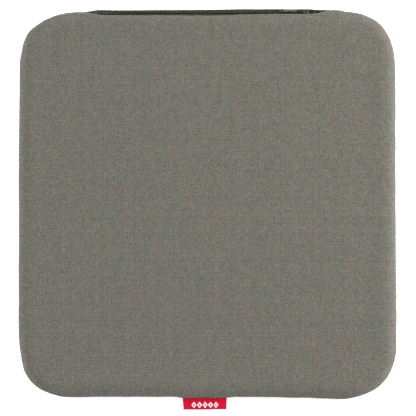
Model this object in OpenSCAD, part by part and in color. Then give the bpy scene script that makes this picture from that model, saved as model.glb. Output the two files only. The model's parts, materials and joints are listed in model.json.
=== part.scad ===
// Square padded mat: a zipped, washable fabric cover over a bound, layered core.
// Lies flat. X runs along the zip, +Y points to the zip, +Z is up.
// The origin is the middle of the underside.

/* [Pad] */
// Width of the cover, along the zip
pad_w = 356; // [300:1:400]
// Length of the cover, from the label edge to the zip edge
pad_l = 364; // [300:1:400]
// Height of the cover
pad_h = 16; // [15.5:0.1:17]
// Radius of the cover's corners, seen from above
corner_r = 48; // [35:1:70]
// How far in from the edge the rounded rim reaches
rim_reach = 10; // [9:0.5:14]
// Thickness of the cover's woven fabric
fabric_t = 0.8; // [0.6:0.1:0.9]

/* [Zip] */
// Length of the mouth that the zip closes
zip_length = 203; // [120:1:230]
// Middle of the mouth, along X
zip_middle = -2; // [-10:0.5:10]
// Lean of the zip's plane from upright
zip_tilt = 25; // [23:1:27]
// Distance from the middle of the chain to each fabric lip
lip_v = 4.7; // [4.6:0.1:5]
// Pitch of the coil's turns
coil_pitch = 1.5; // [1.4:0.1:2]
// Length of the slider's pull, from its pin to its tip
pull_length = 22; // [15:1:24]

/* [Label] */
// Width of the folded woven label
label_w = 41; // [25:1:60]
// How far the label stands out of the front seam
label_out = 11.5; // [6:0.5:16]
// Middle of the label, along X
label_x = -2; // [-40:1:40]

/* [Core] */
// Distance from the cover's edge to the core's bound edge
core_inset = 7.8; // [7.8:0.1:9]
// Thickness of the core's binding tape
binding_t = 0.4; // [0.3:0.1:0.5]
// Reach of the binding over the core's faces
binding_reach = 9; // [6:1:15]
// Thickness of each needled felt layer
felt_t = 2; // [1.5:0.1:2.5]
// Thickness of each woven liner sheet
liner_t = 0.4; // [0.3:0.1:0.5]
// Thickness of the heat-reflecting foil sheet
foil_t = 0.2; // [0.1:0.1:0.3]

/* [Hidden] */
$fn = 96;

heather = [0.46, 0.455, 0.42];
charcoal = [0.17, 0.17, 0.16];
thread_grey = [0.42, 0.42, 0.39];
gunmetal = [0.25, 0.25, 0.26];

// The cover: two panels that meet at mid height in a turned seam.
mid = pad_h / 2;
rim_power = 2 / 2.4;       // a superellipse, squarer than a circle
seam_pinch = 0.8;          // depth of the crease that the seam pulls into the rim
pinch_angle = 30;          // how far round the rim the crease reaches
rim_belly = 0.5;           // the rim swells by this much beside the crease
allowance = 5.4;           // inset of the seam allowance's raw edge

// The zip's own frame: x along it, y outwards, z up its tape.
zip_y = pad_l / 2 - 1.4;
zip_z = mid + 0.2;
zip_x0 = zip_middle - zip_length / 2;
zip_x1 = zip_middle + zip_length / 2;
tape_t = 0.5;
tape_gap = 0.15;           // half the gap between the two closed tapes
zip_fit = 0.1;             // the tapes and coils end this far inside the mouth
lower_lip_out = 2.4;       // how far the lower lip stands out past the rim
lower_lip_z = 4.6;

// The coils, as two combs whose teeth pass each other.
tooth_w = 0.6;
tooth_tip = 0.45;          // a tooth passes the chain's middle by this much
coil_out = 2;              // outer edge of each coil
spine_w = 0.5;
coil_w0 = 0.05;
coil_w1 = 1.25;

// The slider, closed, at the +X end of the zip.
slider_x = zip_x1 - 8;
slider_half = 4.5;
wing_t = 0.85;
wing_w0 = 1.4;             // underside of the outer wing
inner_wing_w = -1.5;       // inner face of the inner wing
diamond_half = 0.8;
diamond_x0 = 0.6;
spread = 1.4;              // how far the diamond parts each tape
bridge_half = 0.9;
pin_r = 0.45;
pin_x = slider_x - 1.8;
pin_w = 2.9;
stop_l = 1.2;
stops_x0 = slider_x + slider_half + 0.2;
stops_x1 = stops_x0 + stop_l;
stop_grip = 0.6;           // thickness of each clamped leg
stop_fit = 0.02;           // clearance between a clamped stop and the tape

// The core's stack, from the bottom up.
core_bottom = 1;
core_top = pad_h - 1;
liner_bottom_z = core_bottom + binding_t;
felt_bottom_z = liner_bottom_z + liner_t;
sponge_z = felt_bottom_z + felt_t;
liner_top_z = core_top - binding_t - liner_t;
foil_z = liner_top_z - foil_t;
felt_top_z = foil_z - felt_t;

// ---- outlines ----

// A rounded rectangle whose corners are true arcs, drawn at an inset from the cover's edge.
module pad_outline(inset) {
    w = pad_w - 2 * inset;
    l = pad_l - 2 * inset;
    r = corner_r - inset;
    square([w - 2 * r, l], center = true);
    square([w, l - 2 * r], center = true);
    for (sx = [-1, 1], sy = [-1, 1])
        translate([sx * (w / 2 - r), sy * (l / 2 - r)]) circle(r);
}

// A flat sheet or slab that follows the pad's outline.
module slab(inset, z, t) {
    translate([0, 0, z]) linear_extrude(height = t) pad_outline(inset);
}

// A point of the rim: [inset from the edge, height above the seam], sunk below the surface by depth.
function rim(angle, depth) = [
    depth - rim_belly + (rim_reach + rim_belly - depth) * (1 - pow(cos(angle), rim_power))
        + seam_pinch * pow(max(0, 1 - angle / pinch_angle), 2),
    (mid - depth) * pow(sin(angle), rim_power)
];

// The same for the lower lip, which bulges out past the rim: [y, z].
function lower_lip(angle, depth) = [
    pad_l / 2 - rim_reach
        + (rim_reach + lower_lip_out - depth) * pow(max(0, cos(angle)), rim_power),
    lower_lip_z - (lower_lip_z - depth) * sign(sin(angle)) * pow(abs(sin(angle)), rim_power)
];

function reversed(list) = [for (i = [len(list) - 1 : -1 : 0]) list[i]];

// One panel's section: the rim, its inner face and the seam allowance turned in under it.
function panel_section() = concat(
    [for (a = [0 : 7.5 : 90]) rim(a, 0)],
    [for (a = [90 : -12.5 : 15]) rim(a, fabric_t)],
    [[1.5 * fabric_t, fabric_t], [allowance, fabric_t], [allowance, 0]]
);

// Sweeps a section, given as [inset, height] points, all the way round the pad's edge.
module swept_round(section) {
    for (sx = [0, 1], sy = [0, 1])
        mirror([sx, 0, 0]) mirror([0, sy, 0])
            translate([pad_w / 2 - corner_r, pad_l / 2 - corner_r, 0])
                rotate_extrude(angle = 90) polygon([for (p = section) [corner_r - p[0], p[1]]]);
    for (s = [0, 1]) {
        mirror([s, 0, 0]) rotate([90, 0, 0])
            linear_extrude(height = pad_l - 2 * corner_r, center = true)
                polygon([for (p = section) [pad_w / 2 - p[0], p[1]]]);
        mirror([0, s, 0]) rotate([90, 0, 90])
            linear_extrude(height = pad_w - 2 * corner_r, center = true)
                polygon([for (p = section) [pad_l / 2 - p[0], p[1]]]);
    }
}

// Extrudes a shape drawn in [y, z] along X.
module along_x(x0, x1) {
    translate([x0, 0, 0]) rotate([90, 0, 90]) linear_extrude(height = x1 - x0) children();
}

module in_zip_frame() {
    translate([0, zip_y, zip_z]) rotate([zip_tilt, 0, 0]) children();
}

// Extrudes a shape drawn on the tape, in [x, v], outwards from w0 to w1.
module on_tape(w0, w1) {
    translate([0, w1, 0]) rotate([90, 0, 0]) linear_extrude(height = w1 - w0) children();
}

// A box in the zip's frame, from its low corner to its high corner.
module zip_box(low, high) {
    in_zip_frame() translate(low) cube(high - low);
}

// ---- cover ----

module zip_mouth() {
    zip_box([zip_x0, -6, -lip_v], [zip_x1, 12, lip_v]);
}

module label_slot() {
    translate([label_x - label_w / 2 - 0.05, -pad_l / 2 - 1, mid - 0.5])
        cube([label_w + 0.1, allowance + 1.5, 1]);
}

// The upper half of the cover as one sewn shell, before the zip and label are let in.
module half_cover() {
    translate([0, 0, mid]) swept_round(panel_section());
    slab(rim_reach, pad_h - fabric_t, fabric_t);
}

// The upper rim at the zip edge, as [y, z].
function upper_lip(angle, depth) = let (p = rim(angle, depth)) [pad_l / 2 - p[0], mid + p[1]];

// The top panel's section along the mouth, with its edge turned under at the upper lip.
function upper_band() = let (inner_y = pad_l / 2 - rim_reach - 1) concat(
    [[inner_y, pad_h]],
    [for (a = [90 : -7 : 20]) upper_lip(a, 0)],
    [for (a = [20 : 7 : 62]) upper_lip(a, 2 * fabric_t)],
    [for (a = [62 : 7 : 90]) upper_lip(a, fabric_t)],
    [[inner_y, pad_h - fabric_t]]
);

// The bottom panel's section along the mouth, with its edge turned under at the lower lip.
function lower_band() = let (inner_y = pad_l / 2 - rim_reach - 1) concat(
    [[inner_y, 0]],
    [for (a = [90 : -10 : -10]) lower_lip(a, 0)],
    [for (a = [-10 : 10 : 60]) lower_lip(a, 2 * fabric_t)],
    [for (a = [60 : 10 : 90]) lower_lip(a, fabric_t)],
    [[inner_y, fabric_t]]
);

// Removes the stretch of rim along the mouth, which a lip's own section takes over.
module rim_stretch() {
    translate([zip_x0 - zip_fit, pad_l / 2 - rim_reach, -1])
        cube([zip_length + 2 * zip_fit, 2 * rim_reach, pad_h + 2]);
}

module cover_top_panel() {
    color(heather) difference() {
        union() {
            difference() {
                half_cover();
                rim_stretch();
            }
            along_x(zip_x0, zip_x1) polygon(upper_band());
        }
        zip_mouth();
        label_slot();
    }
}

module cover_bottom_panel() {
    color(heather) difference() {
        union() {
            difference() {
                translate([0, 0, pad_h]) mirror([0, 0, 1]) half_cover();
                rim_stretch();
            }
            along_x(zip_x0, zip_x1) polygon(lower_band());
        }
        zip_mouth();
        label_slot();
    }
}

// A strip of thread laid on the seam allowance, given by its [inset, height] section.
module seam_strip(section) {
    color(thread_grey) difference() {
        translate([0, 0, mid]) swept_round(section);
        zip_mouth();
    }
}

function box_section(x0, x1, z0, z1) = [[x0, z0], [x1, z0], [x1, z1], [x0, z1]];

module seam_needle_thread() {
    seam_strip(box_section(3, 3.4, fabric_t, fabric_t + 0.25));
}

module seam_bobbin_thread() {
    seam_strip(box_section(3, 3.4, -fabric_t - 0.25, -fabric_t));
}

// Wraps the raw edges of both allowances.
module seam_overlock_thread() {
    t = 0.25;
    seam_strip([
        [allowance - 0.8, fabric_t], [allowance, fabric_t], [allowance, -fabric_t],
        [allowance - 0.8, -fabric_t], [allowance - 0.8, -fabric_t - t],
        [allowance + t, -fabric_t - t], [allowance + t, fabric_t + t],
        [allowance - 0.8, fabric_t + t]
    ]);
}

// ---- zip ----

function smooth_step(x0, x1, x) = pow(sin(90 * min(1, max(0, (x - x0) / (x1 - x0)))), 2);

// How far each side of the zip is parted at x: by the slider's diamond, up to the top stops.
function parted(x) = spread * smooth_step(slider_x - 1.6, slider_x + 0.6, x)
    * (1 - smooth_step(stops_x1 + 0.1, zip_x1 - zip_fit, x));

// The gap between the two tapes: a slit that opens into a V in the slider's mouth.
module tape_slit() {
    xs = concat(
        [zip_x0 - 1],
        [for (i = [0 : 6]) slider_x - 1.6 + i * 2.2 / 6],
        [for (i = [0 : 4]) stops_x1 + 0.1 + i * (zip_x1 - zip_fit - stops_x1 - 0.1) / 4],
        [zip_x1 + 1]
    );
    in_zip_frame() on_tape(-5, 5) polygon(concat(
        [for (x = xs) [x, tape_gap + parted(x)]],
        reversed([for (x = xs) [x, -tape_gap - parted(x)]])
    ));
}

// A point of the zip's own frame, as [y, z].
function zip_point(w, v) = [
    zip_y + w * cos(zip_tilt) - v * sin(zip_tilt),
    zip_z + w * sin(zip_tilt) + v * cos(zip_tilt)
];

// One tape: flat beside the coil, then turned in under the hem along the margin's two faces.
module tape(flat_v, outer_margin, inner_margin) {
    color(charcoal) difference() {
        along_x(zip_x0 + zip_fit, zip_x1 - zip_fit) polygon(concat(
            [zip_point(0, 0), zip_point(0, flat_v)],
            outer_margin,
            reversed(inner_margin),
            [zip_point(-tape_t, flat_v), zip_point(-tape_t, 0)]
        ));
        tape_slit();
    }
}

module zip_tape_upper() {
    angles = [48 : 7 : 62];
    depth = 2 * fabric_t + zip_fit;
    tape(
        lip_v - 0.3,
        [for (a = angles) upper_lip(a, depth)],
        [for (a = angles) upper_lip(a, depth + tape_t)]
    );
}

module zip_tape_lower() {
    angles = [16 : 10 : 56];
    depth = 2 * fabric_t + zip_fit;
    tape(
        0.3 - lip_v,
        [for (a = angles) lower_lip(a, depth)],
        [for (a = angles) lower_lip(a, depth + tape_t)]
    );
}

// One coil as a comb: side is 1 above the chain's middle and -1 below it.
module coil(side) {
    first = zip_x0 + 3;
    count = floor((slider_x + 3.5 - first) / coil_pitch);
    shift = side > 0 ? 0 : coil_pitch / 2;
    spine_v = coil_out - spine_w;
    teeth = [for (i = [0 : count - 1]) first + shift + i * coil_pitch];
    last = teeth[count - 1] + tooth_w;
    edge = concat([for (x = teeth) each [
        [x, spine_v], [x, -tooth_tip], [x + tooth_w, -tooth_tip], [x + tooth_w, spine_v]
    ]]);
    back = [for (x = reversed(teeth)) [x + tooth_w, coil_out]];
    outline = concat(edge, [[last, coil_out]], back, [[first + shift, coil_out]]);
    color(charcoal) in_zip_frame() on_tape(coil_w0, coil_w1)
        polygon([for (p = outline) [p[0], side * (p[1] + parted(p[0]))]]);
}

module zip_coil_upper() {
    coil(1);
}

module zip_coil_lower() {
    coil(-1);
}

// Two clips clamped on the edges of the parted tapes, just past the closed slider.
module zip_top_stops() {
    edge = tape_gap + spread;
    grip_v = edge + 1.7;
    outer = stop_fit + 1.1;
    back = -tape_t - stop_fit;
    color(gunmetal) in_zip_frame() for (side = [0, 1]) mirror([0, 0, side])
        along_x(stops_x0, stops_x1) polygon([
            [back - stop_grip, edge - 0.35], [outer, edge - 0.35], [outer, grip_v],
            [stop_fit, grip_v], [stop_fit, edge - stop_fit], [back, edge - stop_fit],
            [back, grip_v], [back - stop_grip, grip_v]
        ]);
}

// A block clamped across both tapes at the end where the zip opens.
module zip_bottom_stop() {
    x0 = zip_x0 + zip_fit + 0.5;
    x1 = x0 + 2;
    web = tape_gap - stop_fit;
    back = -tape_t - stop_fit;
    color(gunmetal) in_zip_frame() {
        along_x(x0, x1) translate([stop_fit, -coil_out]) square([1.3, 2 * coil_out]);
        along_x(x0, x1) translate([back - stop_grip, -coil_out]) square([stop_grip, 2 * coil_out]);
        along_x(x0, x1) translate([back - stop_grip / 2, -web]) square([tape_t + stop_grip, 2 * web]);
    }
}

// The outline of a slider wing, on the tape: narrow behind, wide at the mouth.
module wing_outline() {
    polygon([
        [-slider_half, -2.4], [-slider_half + 0.5, -2.8], [-2, -2.8], [0.4, -4.1],
        [slider_half - 0.8, -4.1], [slider_half, -3.3],
        [slider_half, 3.3], [slider_half - 0.8, 4.1], [0.4, 4.1], [-2, 2.8],
        [-slider_half + 0.5, 2.8], [-slider_half, 2.4]
    ]);
}

// The rails along both sides of a wing, which keep the coils in.
module rails() {
    for (side = [0, 1]) mirror([0, side]) polygon([
        [-slider_half + 0.5, 2.2], [-1.9, 2.2], [0.3, 3.55], [slider_half - 0.6, 3.55],
        [slider_half - 0.8, 4.1], [0.4, 4.1], [-2, 2.8], [-slider_half + 0.5, 2.8]
    ]);
}

module zip_slider_body() {
    wing_w1 = wing_w0 + wing_t;
    color(gunmetal) in_zip_frame() translate([slider_x, 0, 0]) {
        on_tape(wing_w0, wing_w1) wing_outline();
        on_tape(inner_wing_w, inner_wing_w + wing_t) wing_outline();
        on_tape(0.15, wing_w0) rails();
        // The diamond that parts the coils and joins the wings.
        on_tape(inner_wing_w, wing_w1) polygon([
            [diamond_x0, 0], [diamond_x0 + 1, -diamond_half], [slider_half, -diamond_half],
            [slider_half, diamond_half], [diamond_x0 + 1, diamond_half]
        ]);
        // The bridge that holds the pull's pin.
        translate([0, 0, -bridge_half]) linear_extrude(height = 2 * bridge_half) polygon([
            [-3.6, wing_w1 - 0.1], [-3.6, 3.6], [-3, 4.2], [2, 4.2], [2.6, 3.6],
            [2.6, wing_w1 - 0.1], [1.6, wing_w1 - 0.1], [1.6, 3.2], [1.3, 3.5], [-2.3, 3.5],
            [-2.6, 3.2], [-2.6, wing_w1 - 0.1]
        ]);
    }
}

// A tab with a window, carried on a round pin that lies across the zip.
module zip_pull_tab() {
    t = 0.8;
    arm_v0 = 1.15;
    arm_v1 = 1.9;
    tab_half = 2.8;
    bar_x = -5;
    tip_x = tab_half - pull_length;
    color(gunmetal) in_zip_frame() translate([pin_x, pin_w, 0]) {
        translate([0, 0, -arm_v1]) cylinder(r = pin_r, h = 2 * arm_v1);
        on_tape(-t / 2, t / 2) {
            for (side = [0, 1]) mirror([0, side])
                translate([bar_x - 1, arm_v0]) square([1 - bar_x, arm_v1 - arm_v0]);
            difference() {
                union() {
                    polygon([
                        [bar_x, -arm_v1], [bar_x, arm_v1], [bar_x - 2.5, tab_half],
                        [tip_x, tab_half], [tip_x, -tab_half], [bar_x - 2.5, -tab_half]
                    ]);
                    translate([tip_x, 0]) circle(tab_half);
                }
                translate([tip_x, 0]) circle(1.4);
            }
        }
    }
}

// ---- stitching round the zip ----

stitch_pitch = 3.2;
stitch_l = 2.4;
stitch_r = 0.22;
stitch_lift = -0.25;       // each stitch lies on the fabric

module stitch_row(at) {
    count = floor(zip_length / stitch_pitch);
    start = zip_middle - count * stitch_pitch / 2 + (stitch_pitch - stitch_l) / 2;
    color(thread_grey) for (i = [0 : count - 1])
        translate([start + i * stitch_pitch, at[0], at[1]]) rotate([0, 90, 0])
            cylinder(r = stitch_r, h = stitch_l, $fn = 16);
}

module zip_topstitch_upper() {
    p = rim(57, stitch_lift);
    stitch_row([pad_l / 2 - p[0], mid + p[1]]);
}

module zip_topstitch_lower() {
    stitch_row(lower_lip(45, stitch_lift));
}

// Bars of close stitches across the seam at both ends of the mouth, laid on the rim. They are
// short and thin enough for the pull to lie over them.
module zip_bar_tacks() {
    lift = -0.25;
    color(thread_grey) for (x = [zip_x0 - 2.2, zip_x1 + 1.2], i = [0 : 3], side = [-1, 1]) {
        height = 0.25 + 0.5 * i;
        p = rim(asin(pow(height / (mid - lift), 1 / rim_power)), lift);
        translate([x, pad_l / 2 - p[0], mid + side * p[1]]) rotate([0, 90, 0])
            cylinder(r = 0.22, h = 1, $fn = 16);
    }
}

// ---- labels ----

// A woven strip folded in two, sewn into the front seam.
module side_label() {
    layer = 0.42;
    inner_y = -pad_l / 2 + allowance - 0.9;
    outer_y = -pad_l / 2 - label_out;
    color("crimson") along_x(label_x - label_w / 2, label_x + label_w / 2) translate([0, mid]) polygon([
        [inner_y, -0.48], [outer_y + 0.3, -0.48], [outer_y, -0.2], [outer_y, 0.2],
        [outer_y + 0.3, 0.48], [inner_y, 0.48], [inner_y, 0.48 - layer],
        [outer_y + 0.5, 0.48 - layer], [outer_y + 0.5, layer - 0.48], [inner_y, layer - 0.48]
    ]);
}

// A blank satin strip sewn flat inside the top panel, near the zip.
module care_label() {
    t = 0.15;
    color("white") translate([110, 118, pad_h - fabric_t - t]) cube([24, 36, t]);
}

// ---- core ----

module core_liner_top() {
    color([0.9, 0.89, 0.85]) slab(core_inset + binding_t, liner_top_z, liner_t);
}

module core_foil_sheet() {
    color([0.8, 0.81, 0.83]) slab(core_inset + binding_t, foil_z, foil_t);
}

module core_felt_top() {
    color([0.82, 0.8, 0.74]) slab(core_inset + binding_t, felt_top_z, felt_t);
}

module core_sponge() {
    color([0.62, 0.3, 0.24]) slab(core_inset + binding_t, sponge_z, felt_top_z - sponge_z);
}

module core_felt_bottom() {
    color([0.82, 0.8, 0.74]) slab(core_inset + binding_t, felt_bottom_z, felt_t);
}

module core_liner_bottom() {
    color([0.9, 0.89, 0.85]) slab(core_inset + binding_t, liner_bottom_z, liner_t);
}

// A tape folded round the edge of the whole stack.
module core_edge_binding() {
    in = core_inset;
    t = binding_t;
    reach = core_inset + binding_reach;
    color([0.86, 0.85, 0.8]) swept_round([
        [in, core_bottom], [reach, core_bottom], [reach, core_bottom + t],
        [in + t, core_bottom + t], [in + t, core_top - t], [reach, core_top - t],
        [reach, core_top], [in, core_top]
    ]);
}

module core_binding_stitches() {
    at = core_inset + binding_reach - 1.5;
    color("white") {
        swept_round(box_section(at - 0.2, at + 0.2, core_top, core_top + 0.15));
        swept_round(box_section(at - 0.2, at + 0.2, core_bottom - 0.15, core_bottom));
    }
}

cover_top_panel();
cover_bottom_panel();
seam_needle_thread();
seam_bobbin_thread();
seam_overlock_thread();
zip_tape_upper();
zip_tape_lower();
zip_coil_upper();
zip_coil_lower();
zip_top_stops();
zip_bottom_stop();
zip_slider_body();
zip_pull_tab();
zip_topstitch_upper();
zip_topstitch_lower();
zip_bar_tacks();
side_label();
care_label();
core_liner_top();
core_foil_sheet();
core_felt_top();
core_sponge();
core_felt_bottom();
core_liner_bottom();
core_edge_binding();
core_binding_stitches();
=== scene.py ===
"""Looks for a padded mat: a zipped heather cover with a red label, over a bound, layered core.

Shapes are worked out in millimetres, in the CAD model's frame, and turned into metres when a mesh is made.
"""

import json
import math

import bpy
import numpy as np
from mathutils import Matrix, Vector
from mathutils.bvhtree import BVHTree


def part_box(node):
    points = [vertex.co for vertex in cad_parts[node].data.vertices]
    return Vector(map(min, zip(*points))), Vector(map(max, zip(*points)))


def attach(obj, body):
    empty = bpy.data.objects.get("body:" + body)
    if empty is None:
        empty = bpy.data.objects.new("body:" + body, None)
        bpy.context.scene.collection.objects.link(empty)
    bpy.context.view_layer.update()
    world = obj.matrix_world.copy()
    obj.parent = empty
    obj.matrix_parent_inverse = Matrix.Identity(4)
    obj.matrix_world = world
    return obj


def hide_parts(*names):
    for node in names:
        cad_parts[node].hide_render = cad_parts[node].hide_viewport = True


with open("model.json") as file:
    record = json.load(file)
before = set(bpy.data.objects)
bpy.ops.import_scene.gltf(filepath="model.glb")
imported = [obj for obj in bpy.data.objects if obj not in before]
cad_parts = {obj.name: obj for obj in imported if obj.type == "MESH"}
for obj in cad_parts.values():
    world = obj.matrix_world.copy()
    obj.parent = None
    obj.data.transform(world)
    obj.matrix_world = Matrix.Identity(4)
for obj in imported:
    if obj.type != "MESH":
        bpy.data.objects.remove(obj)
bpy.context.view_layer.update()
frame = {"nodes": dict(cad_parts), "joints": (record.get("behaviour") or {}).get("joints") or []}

MM = 0.001
SEED = 20


# ---------------------------------------------------------------- sizes, from the frame

def box_mm(node):
    """A CAD node's lowest and highest corners, in millimetres."""
    low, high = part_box(node)
    return np.array(low) / MM, np.array(high) / MM


panel_low, panel_high = box_mm("cover_top_panel")
HALF_W = panel_high[0]
HALF_L = -panel_low[1]
SEAM_Z = panel_low[2]
PAD_H = panel_high[2]
CORNER_R = 48

tape_low, tape_high = box_mm("zip_tape_upper")
MOUTH_X0, MOUTH_X1 = tape_low[0], tape_high[0]
slider_low, slider_high = box_mm("zip_slider_body")
SLIDER_X = (slider_low[0] + slider_high[0]) / 2
travel = next(j for j in frame["joints"] if j["name"] == "slider_travel")
SLIDER_END = SLIDER_X - travel["range_m"][1] / MM
_, stops_high = box_mm("zip_top_stops")
label_low, label_high = box_mm("side_label")
LABEL_X = (label_low[0] + label_high[0]) / 2

# The zip's own frame: v runs up its tape and w points out of it.
hinge = next(j for j in frame["joints"] if j["name"] == "pull_hinge")
PIN_W = 2.9
V_AXIS = -np.array(hinge["axis"])
W_AXIS = np.cross(V_AXIS, (1, 0, 0))
ZIP_MIDDLE = np.array(hinge["pos_m"]) / MM - PIN_W * W_AXIS


def zip_place(x, v, w):
    """Points in the pad's frame, from x along the zip, v up its tape and w out of it."""
    x, v, w = np.broadcast_arrays(np.asarray(x, float), v, w)
    out = v[..., None] * V_AXIS + w[..., None] * W_AXIS
    out[..., 0] = x
    out[..., 1:] += ZIP_MIDDLE[1:]
    return out


# ---------------------------------------------------------------- small tools

def smooth(x, low, high):
    """0 below low, 1 above high, and smooth in between; low may be above high."""
    t = np.clip((np.asarray(x, float) - low) / (high - low), 0, 1)
    return t * t * (3 - 2 * t)


def plateau(x, low, high, soft):
    """1 from low to high, falling to 0 over soft outside them."""
    return smooth(x, low - soft, low) * smooth(x, high + soft, high)


class Wobble:
    """A smooth random curve from -1 to 1, with a bend about every step millimetres."""

    def __init__(self, seed, step, reach=2000):
        self.step, self.reach = step, reach
        self.values = np.random.default_rng(SEED + seed).uniform(-1, 1, int(2 * reach / step) + 4)

    def __call__(self, x):
        place = (np.asarray(x, float) + self.reach) / self.step
        cell = np.clip(place.astype(int), 0, len(self.values) - 2)
        t = place - cell
        t = t * t * (3 - 2 * t)
        return self.values[cell] * (1 - t) + self.values[cell + 1] * t


def mesh_piece(name, points, faces, material, cut=None, shade=True):
    """A mesh object from points in millimetres. cut is each point's place on the flat cloth."""
    mesh = bpy.data.meshes.new(name)
    mesh.from_pydata((np.asarray(points) * MM).tolist(), [], [tuple(f) for f in faces])
    mesh.update()
    if cut is not None:
        layer = mesh.attributes.new("cut", "FLOAT_VECTOR", "POINT")
        flat = np.zeros((len(points), 3), np.float32)
        flat[:, : np.shape(cut)[1]] = cut
        layer.data.foreach_set("vector", flat.ravel())
    mesh.polygons.foreach_set("use_smooth", [shade] * len(mesh.polygons))
    piece = bpy.data.objects.new(name, mesh)
    bpy.context.scene.collection.objects.link(piece)
    piece.data.materials.append(material)
    return piece


def place_piece(piece, body="pad", stands_for=()):
    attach(piece, body)
    if stands_for:
        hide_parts(*stands_for)
    return piece


def band_faces(first, second, closed=True):
    """Quads between two rings of point numbers."""
    last = len(first) if closed else len(first) - 1
    after = [(i + 1) % len(first) for i in range(last)]
    return [(first[i], first[j], second[j], second[i]) for i, j in zip(range(last), after)]


def strip_faces(rows, count, flip):
    """Faces of a flat strip with thickness: rows rings of count points, each ring going out along one
    face and back along the other, with both ends closed. flip turns them all over.
    """
    number = np.arange(rows * count).reshape(rows, count).tolist()
    faces = []
    for a, b in zip(number[:-1], number[1:]):
        faces += band_faces(a, b)
    first, last = number[0], number[-1]
    for i in range(count // 2 - 1):
        j = count - 1 - i
        faces.append((first[j], first[j - 1], first[i + 1], first[i]))
        faces.append((last[i], last[i + 1], last[j - 1], last[j]))
    return [f[::-1] for f in faces] if flip else faces


def tube_mesh(path, radius, sides=8, closed=False):
    """Points and faces of a round tube along a path. radius is a number or one per point."""
    path = np.asarray(path, float)
    count = len(path)
    ahead = np.roll(path, -1, 0) - np.roll(path, 1, 0)
    if not closed:
        ahead[0], ahead[-1] = path[1] - path[0], path[-1] - path[-2]
    ahead /= np.linalg.norm(ahead, axis=1)[:, None]
    side = np.cross(ahead[0], (0.3, 0.5, 0.8))
    sides_of = np.empty_like(path)
    for i in range(count):
        side = side - ahead[i] * (side @ ahead[i])
        side = side / np.linalg.norm(side)
        sides_of[i] = side
    other = np.cross(ahead, sides_of)
    turn = np.arange(sides) * 2 * math.pi / sides
    ring = np.cos(turn)[None, :, None] * sides_of[:, None] + np.sin(turn)[None, :, None] * other[:, None]
    points = path[:, None] + ring * np.broadcast_to(radius, count)[:, None, None]
    number = np.arange(count * sides).reshape(count, sides)
    faces = []
    for i in range(count if closed else count - 1):
        faces += band_faces(number[i].tolist(), number[(i + 1) % count].tolist())
    if not closed:
        faces += [tuple(number[0][::-1].tolist()), tuple(number[-1].tolist())]
    return points.reshape(-1, 3), faces


def joined(parts):
    """Several (points, faces) as one."""
    points, faces, start = [], [], 0
    for p, f in parts:
        points.append(p)
        faces += [tuple(i + start for i in face) for face in f]
        start += len(p)
    return np.concatenate(points), faces


def stitches_mesh(places, along, up, length, radius, sides=7):
    """Rounded stitches whose ends dip into the cloth, one at each place."""
    steps = np.linspace(-1, 1, 9)
    thin = np.sqrt(np.clip(1 - np.abs(steps) ** 4, 0.03, 1)) * radius
    lift = (1 - steps ** 2) * radius * 1.1 - radius * 0.7
    parts = []
    for p, a, n in zip(places, along, up):
        path = p + steps[:, None] * a * length / 2 + lift[:, None] * n
        parts.append(tube_mesh(path, thin, sides))
    return joined(parts)


# ---------------------------------------------------------------- materials

class Value:
    """A shader socket that plain sums work on."""

    def __init__(self, graph, socket):
        self.graph, self.socket = graph, socket

    def __add__(self, other):
        return self.graph.math("ADD", self, other)

    def __sub__(self, other):
        return self.graph.math("SUBTRACT", self, other)

    def __mul__(self, other):
        return self.graph.math("MULTIPLY", self, other)

    def __truediv__(self, other):
        return self.graph.math("DIVIDE", self, other)


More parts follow.
